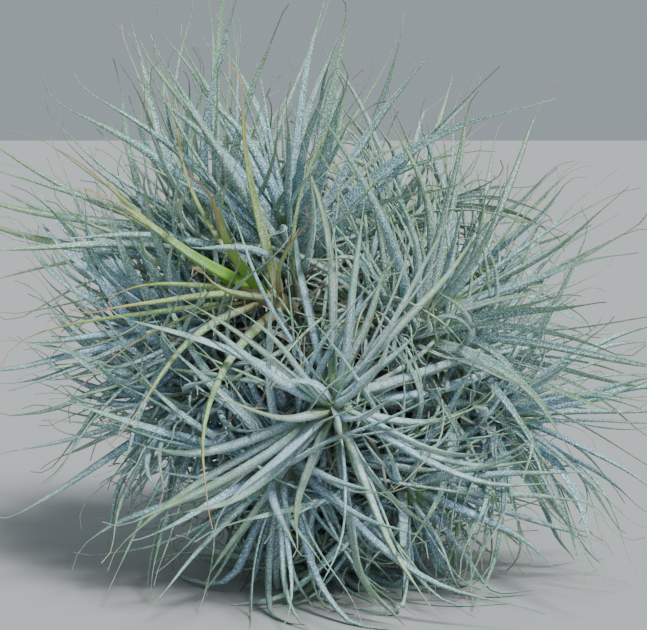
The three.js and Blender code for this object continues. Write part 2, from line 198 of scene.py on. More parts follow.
CHANNEL_RISE = 0.42  # of a leaf's edges over its middle, in half widths
BLADE_DEPTH = 0.7  # of a leaf at its middle, in half widths
CORE_SIDES = 10
CORE_LOOK = {"tone": 0.5, "young": 0.3, "along": 0.05}

WITHERED = 20  # withered leaves at each rosette's foot
WITHERED_LENGTH = (26, 52)
WITHERED_HALF_WIDTH = (0.6, 1.4)
WITHERED_ANGLE = 95
WITHERED_TURN = 0.7
WITHERED_DROOP = -0.5
WITHERED_VARY = {"root": 1.5, "angle": 30, "bend": 80, "sweep": 1.3, "twist": 120}
WITHERED_RISE = 0.9
WITHERED_DEPTH = 0.25

STEM_POINTS = 7
STEM_UNEVEN = 0.12
ROOTS = 16
ROOT_POINTS = 10
ROOT_STEP = 6.5
ROOT_WANDER = 0.55
ROOT_HALF_WIDTH = (0.42, 0.16)
KNOT_LUMP = 0.16
KNOT_MEAN = 0.95

FLAKES = 260000  # standing scales on a square metre of leaf
FLAKES_OF = {"front": 0.3, "top": 2.4, "upper_left": 1.5, "upper_right": 1.6, "right": 1.5, "pale": 0.15}
FLAKE_SIZE = 0.24  # half their width (mm)
FLAKE_HEIGHT = 0.6  # of that
FLAKE_TURNS = ((-0.7, -0.7, 0.0), (0.7, 0.7, 6.28))
FLAKE_SCALE = (0.6, 1.3)


def chance(seed):
    wave = math.sin(seed * 127.1 + 311.7) * 43758.5453
    return wave - math.floor(wave)


def swing(seed):
    return 2 * chance(seed) - 1


def mix(span, share):
    return span[0] + (span[1] - span[0]) * share


def unit(vector):
    return vector / math.sqrt(vector @ vector)


def cross(a, b):
    return np.array((a[1] * b[2] - a[2] * b[1], a[2] * b[0] - a[0] * b[2], a[0] * b[1] - a[1] * b[0]))


def turned(vector, axis, angle):
    cosine = math.cos(angle)
    return vector * cosine + cross(axis, vector) * math.sin(angle) + axis * ((axis @ vector) * (1 - cosine))


def side_of(direction):
    upright = abs(direction[2]) > 0.9
    helper = np.array((1.0, 0, 0)) if upright else np.array((0, 0, 1.0))
    return unit(cross(helper, direction))


def half_width(leaf, share):
    return mix((TIP_HALF_WIDTH, leaf["half_width"]), (1 - share) ** TAPER)


def lying_height(leaf, share):
    return max(LYING_SHARE * half_width(leaf, share), LEAST_LYING)


def lay_down(start, end, lowest, step, out):
    flat = end[:2] - start[:2]
    if math.hypot(*flat) < 0.2 * step:
        flat = out[:2].copy()
    drop = max(start[2] - lowest, 0)
    run = math.sqrt(max(step * step - drop * drop, 0.1 * step * step))
    flat = flat / math.hypot(*flat) * run
    return np.array((start[0] + flat[0], start[1] + flat[1], lowest))


def grow_leaf(leaf):
    """The leaf's middle line, and its upper side's direction at each point."""
    axis = leaf["axis"]
    points = [leaf["root"]]
    uppers = []
    out = turned(leaf["side"], axis, leaf["turn"])
    across = cross(axis, out)
    step = leaf["length"] / LEAF_STEPS
    upper = axis * math.sin(leaf["angle"]) - out * math.cos(leaf["angle"])
    for k in range(LEAF_STEPS):
        share = (k + 0.5) / LEAF_STEPS
        angle = leaf["angle"] + leaf["bend"] * share ** leaf["bend_late"]
        along = axis * math.cos(angle) + out * math.sin(angle) + across * (leaf["sweep"] * share)
        along[2] += leaf["lift"] * share * share
        along = unit(along)
        end = points[k] + along * step
        lowest = lying_height(leaf, (k + 1) / LEAF_STEPS)
        if end[2] < lowest:
            end = lay_down(points[k], end, lowest, step, out)
            along = unit(end - points[k])
        upper = unit(upper - along * (upper @ along))
        upper = turned(upper, along, leaf["twist"] / LEAF_STEPS)
        uppers.append(upper)
        points.append(end)
    uppers.append(upper)
    return {"points": np.array(points), "uppers": np.array(uppers)}


class Rods:
    """Straight round-ended lengths that leaves keep clear of."""

    def __init__(self, room):
        self.start, self.end = np.zeros((2, room, 3))
        self.radius = np.zeros(room)
        self.owner, self.place = np.zeros((2, room), int)
        self.count = 0

    def add(self, points, radii, owner):
        for k in range(len(points) - 1):
            i = self.count
            self.start[i], self.end[i] = points[k:k + 2]
            self.radius[i] = max(radii[k:k + 2])
            self.owner[i], self.place[i] = owner, k
            self.count += 1

    def near(self, points, margin):
        """The rods that come anywhere near a line of points."""
        n = self.count
        middle = (points.min(0) + points.max(0)) / 2
        spread = (points.max(0) - points.min(0)) / 2 + margin
        low = np.minimum(self.start[:n], self.end[:n])
        high = np.maximum(self.start[:n], self.end[:n])
        inside = ((high >= middle - spread) & (low <= middle + spread)).all(1)
        return np.nonzero(inside)[0]

    def distances(self, start, end, chosen):
        along_a = end - start
        along_b = self.end[chosen] - self.start[chosen]
        between = start - self.start[chosen]
        square_a = along_a @ along_a
        square_b = (along_b * along_b).sum(1)
        both = along_b @ along_a
        near_a = between @ along_a
        near_b = (between * along_b).sum(1)
        spread = square_a * square_b - both * both
        parallel = spread < 1e-9
        share_a = np.clip((both * near_b - near_a * square_b) / np.where(parallel, 1, spread), 0, 1)
        share_a[parallel] = 0
        share_b = (both * share_a + near_b) / square_b
        outside = (share_b < 0) | (share_b > 1)
        share_b = np.clip(share_b, 0, 1)
        share_a = np.where(outside, np.clip((both * share_b - near_a) / square_a, 0, 1), share_a)
        gap = between + share_a[:, None] * along_a - share_b[:, None] * along_b
        return np.sqrt((gap * gap).sum(1))

    def leaves_room(self, points, radii, room_for, margin):
        """Whether every length of a leaf has its room from each rod near it."""
        chosen = self.near(points, margin)
        for k in range(len(points) - 1):
            both = max(radii[k:k + 2]) + self.radius[chosen]
            room = room_for(both, (self.place[chosen] < 1) | (k < 1), chosen)
            if (self.distances(points[k], points[k + 1], chosen) < room).any():
                return False
        return True


def is_clear(points, radii, owner, placed):
    """Clear as the solids are: of other pieces, and of its own rosette's outer lengths."""
    def room_for(both, inner, chosen):
        own = np.where(inner, 0, OWN_ROOM * both)
        return np.where(placed.owner[chosen] != owner, both + NEIGHBOUR_GAP, own)

    return placed.leaves_room(points, radii, room_for, margin=8)


def line_radii(leaf):
    return [REACH * half_width(leaf, k / LEAF_STEPS) for k in range(LEAF_STEPS + 1)]


def place_leaf(leaf, placed):
    first = dict(leaf)
    for cut in range(SHORTENINGS):
        for tried in range(TRIES):
            seed = leaf["seed"] * 97 + cut * 31 + tried * 7
            leaf["turn"] = first["turn"] + math.radians(TURN_NUDGE) * tried * swing(seed + 1)
            leaf["angle"] = first["angle"] + math.radians(ANGLE_NUDGE) * tried * swing(seed + 2)
            leaf["sweep"] = first["sweep"] + SWEEP_NUDGE * tried * swing(seed + 3)
            grown = grow_leaf(leaf)
            radii = line_radii(leaf)
            if is_clear(grown["points"], radii, leaf["owner"], placed):
                placed.add(grown["points"], radii, leaf["owner"])
                return {**leaf, **grown}
        leaf["length"] *= SHORTER
    return None


def rooted(rosette, turn, height, off):
    """How a leaf is turned, and where it leaves its rosette's stem."""
    axis, side = rosette["axis"], rosette["side"]
    root = rosette["heart"] + axis * height + turned(side, axis, turn) * off
    return {"axis": axis, "side": side, "turn": turn, "root": root}


def opened(rosette, age):
    """The usual angle and bend of a rosette's leaves."""
    angle = rosette["open"] * mix(ROOT_ANGLE, age ** OPENS_EARLY)
    return angle, rosette["open"] * mix(BEND, age) + rosette["curl"]


def bent(vary, seed, draws, angle=0.0, bend=0.0):
    """How a leaf opens, bends, sweeps and twists, each varied by a draw of its own."""
    swings = [swing(seed + draw) for draw in draws]
    return {
        "angle": math.radians(angle + vary["angle"] * swings[0]),
        "bend": math.radians(bend + vary["bend"] * swings[1]),
        "sweep": vary["sweep"] * swings[2],
        "twist": math.radians(vary["twist"] * swings[3]),
    }


def leaf_of(rosette, owner, index):
    age = 1 - index / (rosette["leaves"] - 1)
    seed = owner * 1000 + index * 11
    turn = index * math.radians(TURN) + owner
    height = YOUNGEST_ROOT - STEM_LENGTH * OLDEST_ROOT * age
    usual_width = BASE_HALF_WIDTH * rosette["wide"] * mix(WIDTH_SHARE, age)
    usual_length = rosette["long"] * mix(LENGTH_SHARE, math.sqrt(age))
    return {
        **rooted(rosette, turn, height, ROOT_OFFSET * STEM_RADIUS),
        **bent(VARY, seed, (6, 7, 9, 10), *opened(rosette, age)),
        "owner": owner, "seed": seed, "age": age,
        "length": usual_length * (1 + VARY["length"] * swing(seed + 5)),
        "bend_late": mix(BEND_LATE, chance(seed + 8)),
        "lift": rosette["lift"] + VARY["lift"] * swing(seed + 12),
        "half_width": usual_width * (1 + VARY["width"] * swing(seed + 13)),
    }


def bezier(line, share):
    start, bow, end = line
    return start * (1 - share) ** 2 + bow * (2 * share * (1 - share)) + end * share ** 2


def bezier_way(line, share):
    start, bow, end = line
    return unit((bow - start) * (1 - share) + (end - bow) * share)


def branch_line(rosette):
    middle = np.array((0, 0, BALL_HEIGHT))
    end = rosette["heart"] - rosette["axis"] * (STEM_LENGTH + FOOT_LENGTH + SHOULDER_GAP)
    reach = end - middle
    start = middle + reach * (BRANCH_START * KNOT_RADIUS / math.sqrt(reach @ reach))
    length = math.sqrt((end - start) @ (end - start))
    return (start, end - rosette["axis"] * (BRANCH_BOW * length), end)


def lengths_along(points):
    return np.concatenate(([0], np.cumsum(np.linalg.norm(np.diff(points, axis=0), axis=1))))


def evenly_along(line, steps):
    """Points that part a bent line into stretches of equal length."""
    shares = np.linspace(0, 1, 201)
    points = np.array([bezier(line, share) for share in shares])
    lengths = lengths_along(points)
    wanted = np.interp(np.linspace(0, lengths[-1], steps + 1), lengths, shares)
    return [bezier(line, share) for share in wanted]


def dry_leaf_of(stem_lines, index):
    seed = 90000 + index * 13
    line = stem_lines[(index * DRY_SKIP) % len(stem_lines)]
    at = mix(DRY_ROOT, chance(seed))
    axis = bezier_way(line, at)
    return {
        **bent(DRY_VARY, seed, (3, 4, 5, 6), DRY_ANGLE),
        "owner": OLD_WOOD, "seed": seed, "age": 1,
        "axis": axis, "side": side_of(axis), "root": bezier(line, at),
        "turn": 2 * math.pi * chance(seed + 1),
        "length": DRY_LENGTH * (1 + DRY_VARY["length"] * swing(seed + 2)),
        "bend_late": 1,
        "lift": DRY_DROOP,
        "half_width": DRY_HALF_WIDTH,
    }


def grow_clump():
    """Every leaf of the solids, grown in the same order, and the old stems' lines."""
    rosettes = []
    for row in ROSETTES:
        rosette = dict(zip(ROSETTE_KEYS, row))
        rosette["heart"] = np.array(rosette["heart"], float) + (0, 0, BALL_HEIGHT)
        rosette["axis"] = unit(np.array(rosette["face"], float))
        rosette["side"] = side_of(rosette["axis"])
        rosettes.append(rosette)
    placed = Rods(ROOM_FOR_RODS)
    stem_lines = [branch_line(rosette) for rosette in rosettes]
    for line in stem_lines:
        placed.add(evenly_along(line, BRANCH_STEPS), [BRANCH_RADIUS] * (BRANCH_STEPS + 1), OLD_WOOD)
    for owner, rosette in enumerate(rosettes):
        foot = rosette["heart"] + rosette["axis"] * (STEM_RADIUS - STEM_LENGTH - FOOT_LENGTH)
        bud = rosette["heart"] + rosette["axis"] * (HEART_LENGTH - HEART_RADIUS)
        placed.add([foot, bud], [STEM_RADIUS] * 2, owner)
    leaves = [[] for _ in rosettes]
    for index in range(max(rosette["leaves"] for rosette in rosettes)):
        for owner, rosette in enumerate(rosettes):
            if index < rosette["leaves"]:
                leaves[owner].append(place_leaf(leaf_of(rosette, owner, index), placed))
    leaves.append([place_leaf(dry_leaf_of(stem_lines, index), placed) for index in range(DRY_LEAVES)])
    *leaves, dry = ([leaf for leaf in tried if leaf] for tried in leaves)
    return rosettes, stem_lines, leaves, dry, placed


# ---- Further leaves, which only the finished plant has ----
def fits_box(points):
    low = np.array(cad_box[0]) / MM + BOX_SPARE
    high = np.array(cad_box[1]) / MM - BOX_SPARE
    return (points.min(0) > (low[0], low[1], LOWEST_LINE)).all() and (points.max(0) < high).all()


def runs_free(points, radii, placed):
    """Clear enough for a leaf that only the finished plant has."""
    def room_for(both, inner, _):
        return np.where(inner, 0, FURTHER_ROOM * both)

    return placed.leaves_room(points, radii, room_for, margin=4)


def further_leaf(rosette, owner, index, count, placed):
    """One more leaf between a rosette's first ones, somewhat shorter and narrower."""
    age = FURTHER_AGE * math.sqrt((index + 0.5) / count)
    height = YOUNGEST_ROOT - STEM_LENGTH * age
    usual_length = rosette["long"] * mix(LENGTH_SHARE, math.sqrt(min(age, 1)))
    usual_width = BASE_HALF_WIDTH * rosette["wide"]
    for tried in range(FURTHER_TRIES):
        seed = 200000 + owner * 1000 + index * 13 + 401 * tried
        turn = index * math.radians(TURN) + owner + FURTHER_TURN + FURTHER_VARY["turn"] * swing(seed)
        leaf = {
            **rooted(rosette, turn, height, ROOT_OFFSET * STEM_RADIUS),
            **bent(FURTHER_VARY, seed, (3, 4, 6, 7), *opened(rosette, age)),
            "owner": owner, "seed": seed, "age": age,
            "length": usual_length * mix(FURTHER_LENGTH, chance(seed + 1)),
            "bend_late": mix(BEND_LATE, chance(seed + 5)),
            "lift": rosette["lift"] + FURTHER_VARY["lift"] * swing(seed + 8),
            "half_width": usual_width * mix(FURTHER_WIDTH, chance(seed + 2) ** MOSTLY_NARROW),
        }
        grown = grow_leaf(leaf)
        radii = line_radii(leaf)
        if fits_box(grown["points"]) and runs_free(grown["points"], radii, placed):
            placed.add(grown["points"], radii, owner)
            return {**leaf, **grown}
    return None


# ---- Small helpers for node trees ----
def add(tree, kind, inputs=None, **settings):
    """A node with its settings made and its inputs set or linked."""
    made = tree.nodes.new(kind)
    for name, value in settings.items():
        setattr(made, name, value)
    for socket, value in (inputs or {}).items():
        if isinstance(value, bpy.types.NodeSocket):
            tree.links.new(value, made.inputs[socket])
        else:
            made.inputs[socket].default_value = value
    return made


def math_node(tree, operation, *values, clamp=False):
    inputs = dict(enumerate(values))
    return add(tree, "ShaderNodeMath", inputs, operation=operation, use_clamp=clamp).outputs[0]


def times(tree, a, b, clamp=False):
    return math_node(tree, "MULTIPLY", a, b, clamp=clamp)


def line_of(tree, value, slope, start, clamp=False):
    """The value times a slope, and a start added."""
    return math_node(tree, "MULTIPLY_ADD", value, slope, start, clamp=clamp)


def rest_of(tree, share):
    return math_node(tree, "SUBTRACT", 1.0, share)


def about_half(tree, value):
    return math_node(tree, "SUBTRACT", value, 0.5)


def smooth_step(tree, value, low, high, start=0.0, end=1.0):
    inputs = {"Value": value, "From Min": low, "From Max": high, "To Min": start, "To Max": end}
    return add(tree, "ShaderNodeMapRange", inputs, interpolation_type="SMOOTHSTEP").outputs[0]


def blend_colors(tree, share, first, second):
    return add(tree, "ShaderNodeMix", {0: share, 6: first, 7: second}, data_type="RGBA").outputs[2]


def attribute(tree, name):
    return add(tree, "ShaderNodeAttribute", attribute_name=name).outputs["Fac"]


def shape(tree, kind, inputs=None, **settings):
    """What a geometry node gives first."""
    return add(tree, "GeometryNode" + kind, inputs, **settings).outputs[0]


def named(tree, name, data_type="FLOAT"):
    return shape(tree, "InputNamedAttribute", {"Name": name}, data_type=data_type)


def stored(tree, geometry, name, value):
    inputs = {"Geometry": geometry, "Name": name, "Value": value}
    return shape(tree, "StoreNamedAttribute", inputs, data_type="FLOAT", domain="POINT")


def vectors(tree, operation, inputs):
    return add(tree, "ShaderNodeVectorMath", inputs, operation=operation).outputs


def new_tree(name, inputs):
    tree = bpy.data.node_groups.new(name, "GeometryNodeTree")
    for label, kind, value in (*inputs, ("Finish", "Material", None)):
        socket = tree.interface.new_socket(label, in_out="INPUT", socket_type="NodeSocket" + kind)
        if value is not None:
            socket.default_value = value
    tree.interface.new_socket("Geometry", in_out="OUTPUT", socket_type="NodeSocketGeometry")
    return tree, tree.nodes.new("NodeGroupInput").outputs, tree.nodes.new("NodeGroupOutput").inputs


def close_tree(tree, geometry, given, result):
    """Real meshes with their finish, as the tree's result."""
    geometry = shape(tree, "RealizeInstances", {"Geometry": geometry})
    geometry = shape(tree, "SetMaterial", {"Geometry": geometry, "Material": given["Finish"]})
    tree.links.new(geometry, result[0])
    return tree


# ---- The trees that turn lines into blades, wood and scales ----
def soft_curve(tree, given):
    curve = shape(tree, "MeshToCurve", {"Mesh": given["Lines"]})
    curve = shape(tree, "CurveSplineType", {"Curve": curve}, spline_type="CATMULL_ROM")
    return shape(tree, "ResampleCurve", {"Curve": curve, "Count": given["Rings"]})


def swept(tree, curve, section):
    """The section along the curve, as wide as the line says."""
    inputs = {"Curve": curve, "Profile Curve": section, "Scale": named(tree, "half_width"), "Fill Caps": True}
    return shape(tree, "CurveToMesh", inputs)


def channel_section(tree, given):
    """A closed section: a shallow channel above, a rounded keel below."""
    circle = shape(tree, "CurvePrimitiveCircle", {"Resolution": given["Section corners"], "Radius": 1.0})
    place = add(tree, "ShaderNodeSeparateXYZ", {0: shape(tree, "InputPosition")})
    x = place.outputs[0]
    below = math_node(tree, "LESS_THAN", place.outputs[1], -0.01)
    square = times(tree, x, x)
    lifted = times(tree, about_half(tree, square), given["Channel rise"])
    thick = times(tree, rest_of(tree, square), given["Blade depth"])
    y = math_node(tree, "SUBTRACT", lifted, times(tree, below, thick))
    moved = shape(tree, "SetPosition", {
        "Geometry": circle, "Position": add(tree, "ShaderNodeCombineXYZ", {0: x, 1: y}).outputs[0],
    })
    return stored(tree, moved, "across", x)


def blade_tree():
    """Channelled leaves along their lines, with their upper sides where the lines say."""
    tree, given, result = new_tree("channelled blades", [
        ("Lines", "Geometry", None), ("Rings", "Int", LEAF_RINGS),
        ("Section corners", "Int", SECTION_CORNERS),
        ("Channel rise", "Float", CHANNEL_RISE), ("Blade depth", "Float", BLADE_DEPTH),
    ])
    curve = soft_curve(tree, given)
    curve = stored(tree, curve, "along", add(tree, "GeometryNodeSplineParameter").outputs["Factor"])
    way = shape(tree, "InputTangent")
    facing = named(tree, "facing", "FLOAT_VECTOR")
    overlap = vectors(tree, "DOT_PRODUCT", {0: facing, 1: way})["Value"]
    lean = vectors(tree, "SCALE", {0: way, "Scale": overlap})[0]
    square = vectors(tree, "SUBTRACT", {0: facing, 1: lean})[0]
    square = vectors(tree, "NORMALIZE", {0: square})[0]
    curve = shape(tree, "SetCurveNormal", {"Curve": curve, "Normal": square}, mode="FREE")
    blades = swept(tree, curve, channel_section(tree, given))
    blades = shape(tree, "SetShadeSmooth", {"Geometry": blades})
    return close_tree(tree, blades, given, result)


def wood_tree():
    """Round, uneven stems and wiry roots along their lines."""
    tree, given, result = new_tree("woody lines", [
        ("Lines", "Geometry", None), ("Rings", "Int", 22), ("Section corners", "Int", 9),
        ("Unevenness", "Float", 0.0005), ("Grain size", "Float", 320.0),
    ])
    section = shape(tree, "CurvePrimitiveCircle", {"Resolution": given["Section corners"], "Radius": 1.0})
    wood = swept(tree, soft_curve(tree, given), section)
    grain = add(tree, "ShaderNodeTexNoise", {"Scale": given["Grain size"], "Detail": 3.0}).outputs[0]
    push = times(tree, about_half(tree, grain), given["Unevenness"])
    offset = vectors(tree, "SCALE", {0: shape(tree, "InputNormal"), "Scale": push})[0]
    wood = shape(tree, "SetPosition", {"Geometry": wood, "Offset": offset})
    wood = shape(tree, "SetShadeSmooth", {"Geometry": wood})
    return close_tree(tree, wood, given, result)


def flake_tree():
    """Scales that stand off the leaves, most at the edges and few at the tips."""
    tree, given, result = new_tree("standing scales", [
        ("Leaves", "Geometry", None), ("Flakes on a square metre", "Float", FLAKES),
        ("Flake size", "Float", FLAKE_SIZE * MM), ("Seed", "Int", 3),
    ])
    rim = math_node(tree, "ABSOLUTE", named(tree, "across"))
    bare_tip = smooth_step(tree, named(tree, "along"), 0.45, 0.85, 1.0, 0.06)
    crowded = times(tree, smooth_step(tree, rim, 0.6, 1.0, 0.6, 2.4), bare_tip)
    spots = add(tree, "GeometryNodeDistributePointsOnFaces", {
        "Mesh": given["Leaves"], "Seed": given["Seed"],
        "Density": times(tree, given["Flakes on a square metre"], crowded),
    }, distribute_method="RANDOM")
    turns = {0: FLAKE_TURNS[0], 1: FLAKE_TURNS[1]}
    tilt = add(tree, "FunctionNodeRandomValue", turns, data_type="FLOAT_VECTOR").outputs[0]
    tilt = add(tree, "FunctionNodeEulerToRotation", {0: tilt}).outputs[0]
    stance = {0: spots.outputs["Rotation"], 1: tilt}
    stance = add(tree, "FunctionNodeRotateRotation", stance, rotation_space="LOCAL").outputs[0]
    sizes = {2: FLAKE_SCALE[0], 3: FLAKE_SCALE[1]}
    flake = shape(tree, "MeshCone", {
        "Vertices": 3, "Side Segments": 1, "Fill Segments": 1, "Radius Top": 0.0,
        "Radius Bottom": given["Flake size"], "Depth": times(tree, given["Flake size"], FLAKE_HEIGHT),
    }, fill_type="NGON")
    flakes = shape(tree, "InstanceOnPoints", {
        "Points": spots.outputs["Points"], "Instance": flake, "Rotation": stance,
        "Scale": add(tree, "FunctionNodeRandomValue", sizes, data_type="FLOAT").outputs[1],
    })
    flakes = shape(tree, "RealizeInstances", {"Geometry": flakes})
    return close_tree(tree, stored(tree, flakes, "flake", 1.0), given, result)


def linked(name, data):
    made = bpy.data.objects.new(name, data)
    bpy.context.collection.objects.link(made)
    return made


LEAF_NUMBERS = ("tone", "young", "fresh", "smooth")


def guide_object(lines):
    """Lines as a mesh of edges: each point has its half width, facing and plain numbers."""
    verts, edges, facing = [], [], []
    numbers = {key: [] for key in ("half_width", *LEAF_NUMBERS)}
    for line in lines:
        first = len(verts)
        verts.extend((line["points"] * MM).tolist())
        edges.extend((k, k + 1) for k in range(first, len(verts) - 1))
        facing.extend(line["uppers"].tolist())
        numbers["half_width"].extend(width * MM for width in line["widths"])
        for key in LEAF_NUMBERS:
            numbers[key].extend([line.get(key, 0.0)] * len(line["points"]))
    mesh = bpy.data.meshes.new("lines")
    mesh.from_pydata(verts, edges, [])
    for key, values in numbers.items():
        mesh.attributes.new(key, "FLOAT", "POINT").data.foreach_set("value", values)
    mesh.attributes.new("facing", "FLOAT_VECTOR", "POINT").data.foreach_set("vector", np.ravel(facing))
    return linked("lines", mesh)


def made_by(tree, guide, settings):
    """The mesh that a tree makes of a guide, which is then removed."""
    modifier = guide.modifiers.new(tree.name, "NODES")
    modifier.node_group = tree
    sockets = {item.name: item.identifier for item in tree.interface.items_tree if item.in_out == "INPUT"}
    for label, value in settings.items():
        modifier[sockets[label]] = value
    seen = guide.evaluated_get(bpy.context.evaluated_depsgraph_get())
    mesh = bpy.data.meshes.new_from_object(seen)
    plain = guide.data
    bpy.data.objects.remove(guide)
    bpy.data.meshes.remove(plain)
    return mesh


def flakes_on(mesh, flaking, amount, finish):
    """The standing scales of a rosette's leaves."""
    settings = {"Flakes on a square metre": amount * FLAKES, "Finish": finish}
    return made_by(flaking, linked("leaves", mesh.copy()), settings)


def keep_in_box(mesh):
    """No vertex outside the solids' box, nor under the surface."""
    places = np.empty(len(mesh.vertices) * 3)
    mesh.vertices.foreach_get("co", places)
    places = np.clip(places.reshape(-1, 3), cad_box[0], cad_box[1])
    mesh.vertices.foreach_set("co", places.ravel())
    mesh.update()


def new_piece(name, mesh, slot, *nodes):
    mesh.name = name
    keep_in_box(mesh)
    piece = linked(name, mesh)
    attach(piece, "root")
    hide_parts(*nodes)


# ---- Finishes ----
def new_material(name, roughness, sheen=0.0):
    material = bpy.data.materials.new(name)
    material.use_nodes = True
    tree = material.node_tree
    surface = tree.nodes["Principled BSDF"]
    surface.inputs["Roughness"].default_value = roughness
    surface.inputs["Specular IOR Level"].default_value = 0.3
    surface.inputs["Sheen Weight"].default_value = sheen
    surface.inputs["Sheen Roughness"].default_value = 0.45
    return material, tree, surface


def lengthwise(tree, across, along, tone, stretch, scale, detail):
    """Streaks along each leaf, other ones on each."""
    parts = [times(tree, value, by) for value, by in zip((across, along, tone), stretch)]
    place = add(tree, "ShaderNodeCombineXYZ", dict(enumerate(parts))).outputs[0]
    return add(tree, "ShaderNodeTexNoise", {"Vector": place, "Scale": scale, "Detail": detail}).outputs[0]


def paint(tree, surface, color):
    tree.links.new(color, surface.inputs["Base Color"])


def raised(tree, surface, height, strength, distance):
    bump = add(tree, "ShaderNodeBump", {"Height": height, "Strength": strength, "Distance": distance})
    tree.links.new(bump.outputs[0], surface.inputs["Normal"])


def leaf_finish(name, colors):
    """Green tissue under a coat of silver scales that thins towards the tip, with painted glints on random
    scale cells.
    """
    material, tree, surface = new_material(name, roughness=0.7, sheen=0.25)
    along, across, tone, young, fresh, smooth, flake = (
        attribute(tree, key) for key in ("along", "across", "tone", "young", "fresh", "smooth", "flake")
    )
    place = add(tree, "ShaderNodeTexCoord").outputs["Object"]
    rim = math_node(tree, "ABSOLUTE", across)

    heart = times(tree, young, smooth_step(tree, along, 0.02, 0.2, 1.0, 0.0))
    throat = times(tree, smooth_step(tree, along, 0.1, 0.34, 1.0, 0.0), line_of(tree, rim, 0.7, 0.15))
    foot = smooth_step(tree, along, 0.03, colors["sheath to"], 0.85, 0.0)
    sheath = times(tree, rest_of(tree, young), foot)
    lively = times(tree, fresh, smooth_step(tree, along, 0.2, 0.6, 1.0, 0.1))
    ends = smooth_step(tree, line_of(tree, tone, 0.12, along), colors["tip from"], 1.08)
    tissue = blend_colors(tree, smooth_step(tree, along, 0.1, 0.75), colors["base"], colors["blade"])
    for share, color in ((times(tree, tone, 0.6), "other"), (heart, "heart"), (throat, "throat"),
                         (sheath, "sheath"), (lively, "fresh"), (ends, "tip")):
        tissue = blend_colors(tree, share, tissue, colors[color])

    patches = {"Vector": place, "Scale": PATCH_GRAIN, "Detail": 7.0, "Roughness": 0.68}
    patches = about_half(tree, add(tree, "ShaderNodeTexNoise", patches).outputs[0])
    streaks = lengthwise(tree, across, along, tone, stretch=(2.6, 6.0, 30.0), scale=2.0, detail=3.0)
    streaks = about_half(tree, streaks)
    scales = add(tree, "ShaderNodeTexVoronoi", {"Vector": place, "Scale": SCALE_GRAIN})
    flakes = smooth_step(tree, scales.outputs["Distance"], 0.2, 0.6, 1.0, 0.0)
    frosted = math_node(tree, "FRACT", times(tree, tone, 7.3))
    cover = smooth_step(tree, along, 0.2, 1.0, *colors["cover"])
    for thinner in (line_of(tree, frosted, 0.4, 0.8), line_of(tree, tone, -0.5, 1.15),
                    smooth_step(tree, rim, 0.55, 1.0, 1.0, 0.5), line_of(tree, throat, -0.75, 1.0),
                    line_of(tree, sheath, -0.8, 1.0)):
        cover = times(tree, cover, thinner)
    cover = line_of(tree, patches, 0.9, cover)
    cover = line_of(tree, streaks, 0.7, cover)
    cover = times(tree, cover, rest_of(tree, heart))
    cover = times(tree, cover, line_of(tree, lively, -0.8, 1.0))
    uneven = times(tree, flakes, line_of(tree, smooth, -0.9, 1.35))
    coat = times(tree, cover, math_node(tree, "ADD", uneven, line_of(tree, smooth, 0.42, 0.26)), clamp=True)
    coat = math_node(tree, "MAXIMUM", coat, times(tree, flake, line_of(tree, lively, -0.7, 0.85)))

    warmth = line_of(tree, patches, 1.6, tone, clamp=True)
    silver = blend_colors(tree, warmth, colors["scales"], colors["warm_scales"])
    # Random cells of the scales are painted near white: painted glints standing in for the sparkle of light
    # off the scales.
    painted_glint_share = add(tree, "ShaderNodeSeparateColor", {0: scales.outputs["Color"]}).outputs[0]
    silver = blend_colors(tree, smooth_step(tree, painted_glint_share, 0.4, 0.8), silver, colors["painted_glint"])
    paint(tree, surface, blend_colors(tree, coat, tissue, silver))
    tree.links.new(line_of(tree, coat, 0.3, 0.5), surface.inputs["Roughness"])
    veins = math_node(tree, "SINE", times(tree, across, VEINS))
    height = line_of(tree, veins, 0.18, times(tree, flakes, coat))
    raised(tree, surface, height, strength=0.5, distance=0.00012)
    return material


def dried_finish():
    """Papery tan and grey, with darker streaks along each leaf."""
    material, tree, surface = new_material("dried leaf", roughness=0.85, sheen=0.1)
    along, across, tone = (attribute(tree, key) for key in ("along", "across", "tone"))
    streaks = lengthwise(tree, across, along, tone, stretch=(4.0, 3.0, 40.0), scale=2.5, detail=4.0)
    color = blend_colors(tree, tone, DRY_TAN, DRY_GREY)
    color = blend_colors(tree, smooth_step(tree, streaks, 0.42, 0.7), color, DRY_STREAK)
    color = blend_colors(tree, smooth_step(tree, along, 0.6, 1.0), color, DRY_TIP)
    paint(tree, surface, color)
    raised(tree, surface, streaks, strength=0.6, distance=0.0003)
    return material


def bark_finish():
    """Dark brown with a lighter grain, and grey where it flakes."""
    material, tree, surface = new_material("old wood", roughness=0.9)
    place = add(tree, "ShaderNodeTexCoord").outputs["Object"]
    grain = add(tree, "ShaderNodeTexNoise", {"Vector": place, "Scale": 420.0, "Detail": 6.0}).outputs[0]
    peeling = add(tree, "ShaderNodeTexVoronoi", {"Vector": place, "Scale": 700.0}).outputs["Distance"]
    color = blend_colors(tree, smooth_step(tree, grain, 0.35, 0.7), BARK_DARK, BARK_LIGHT)
    color = blend_colors(tree, smooth_step(tree, peeling, 0.35, 0.6), color, BARK_GREY)
    paint(tree, surface, color)
    raised(tree, surface, math_node(tree, "ADD", grain, peeling), strength=0.8, distance=0.0006)
    return material
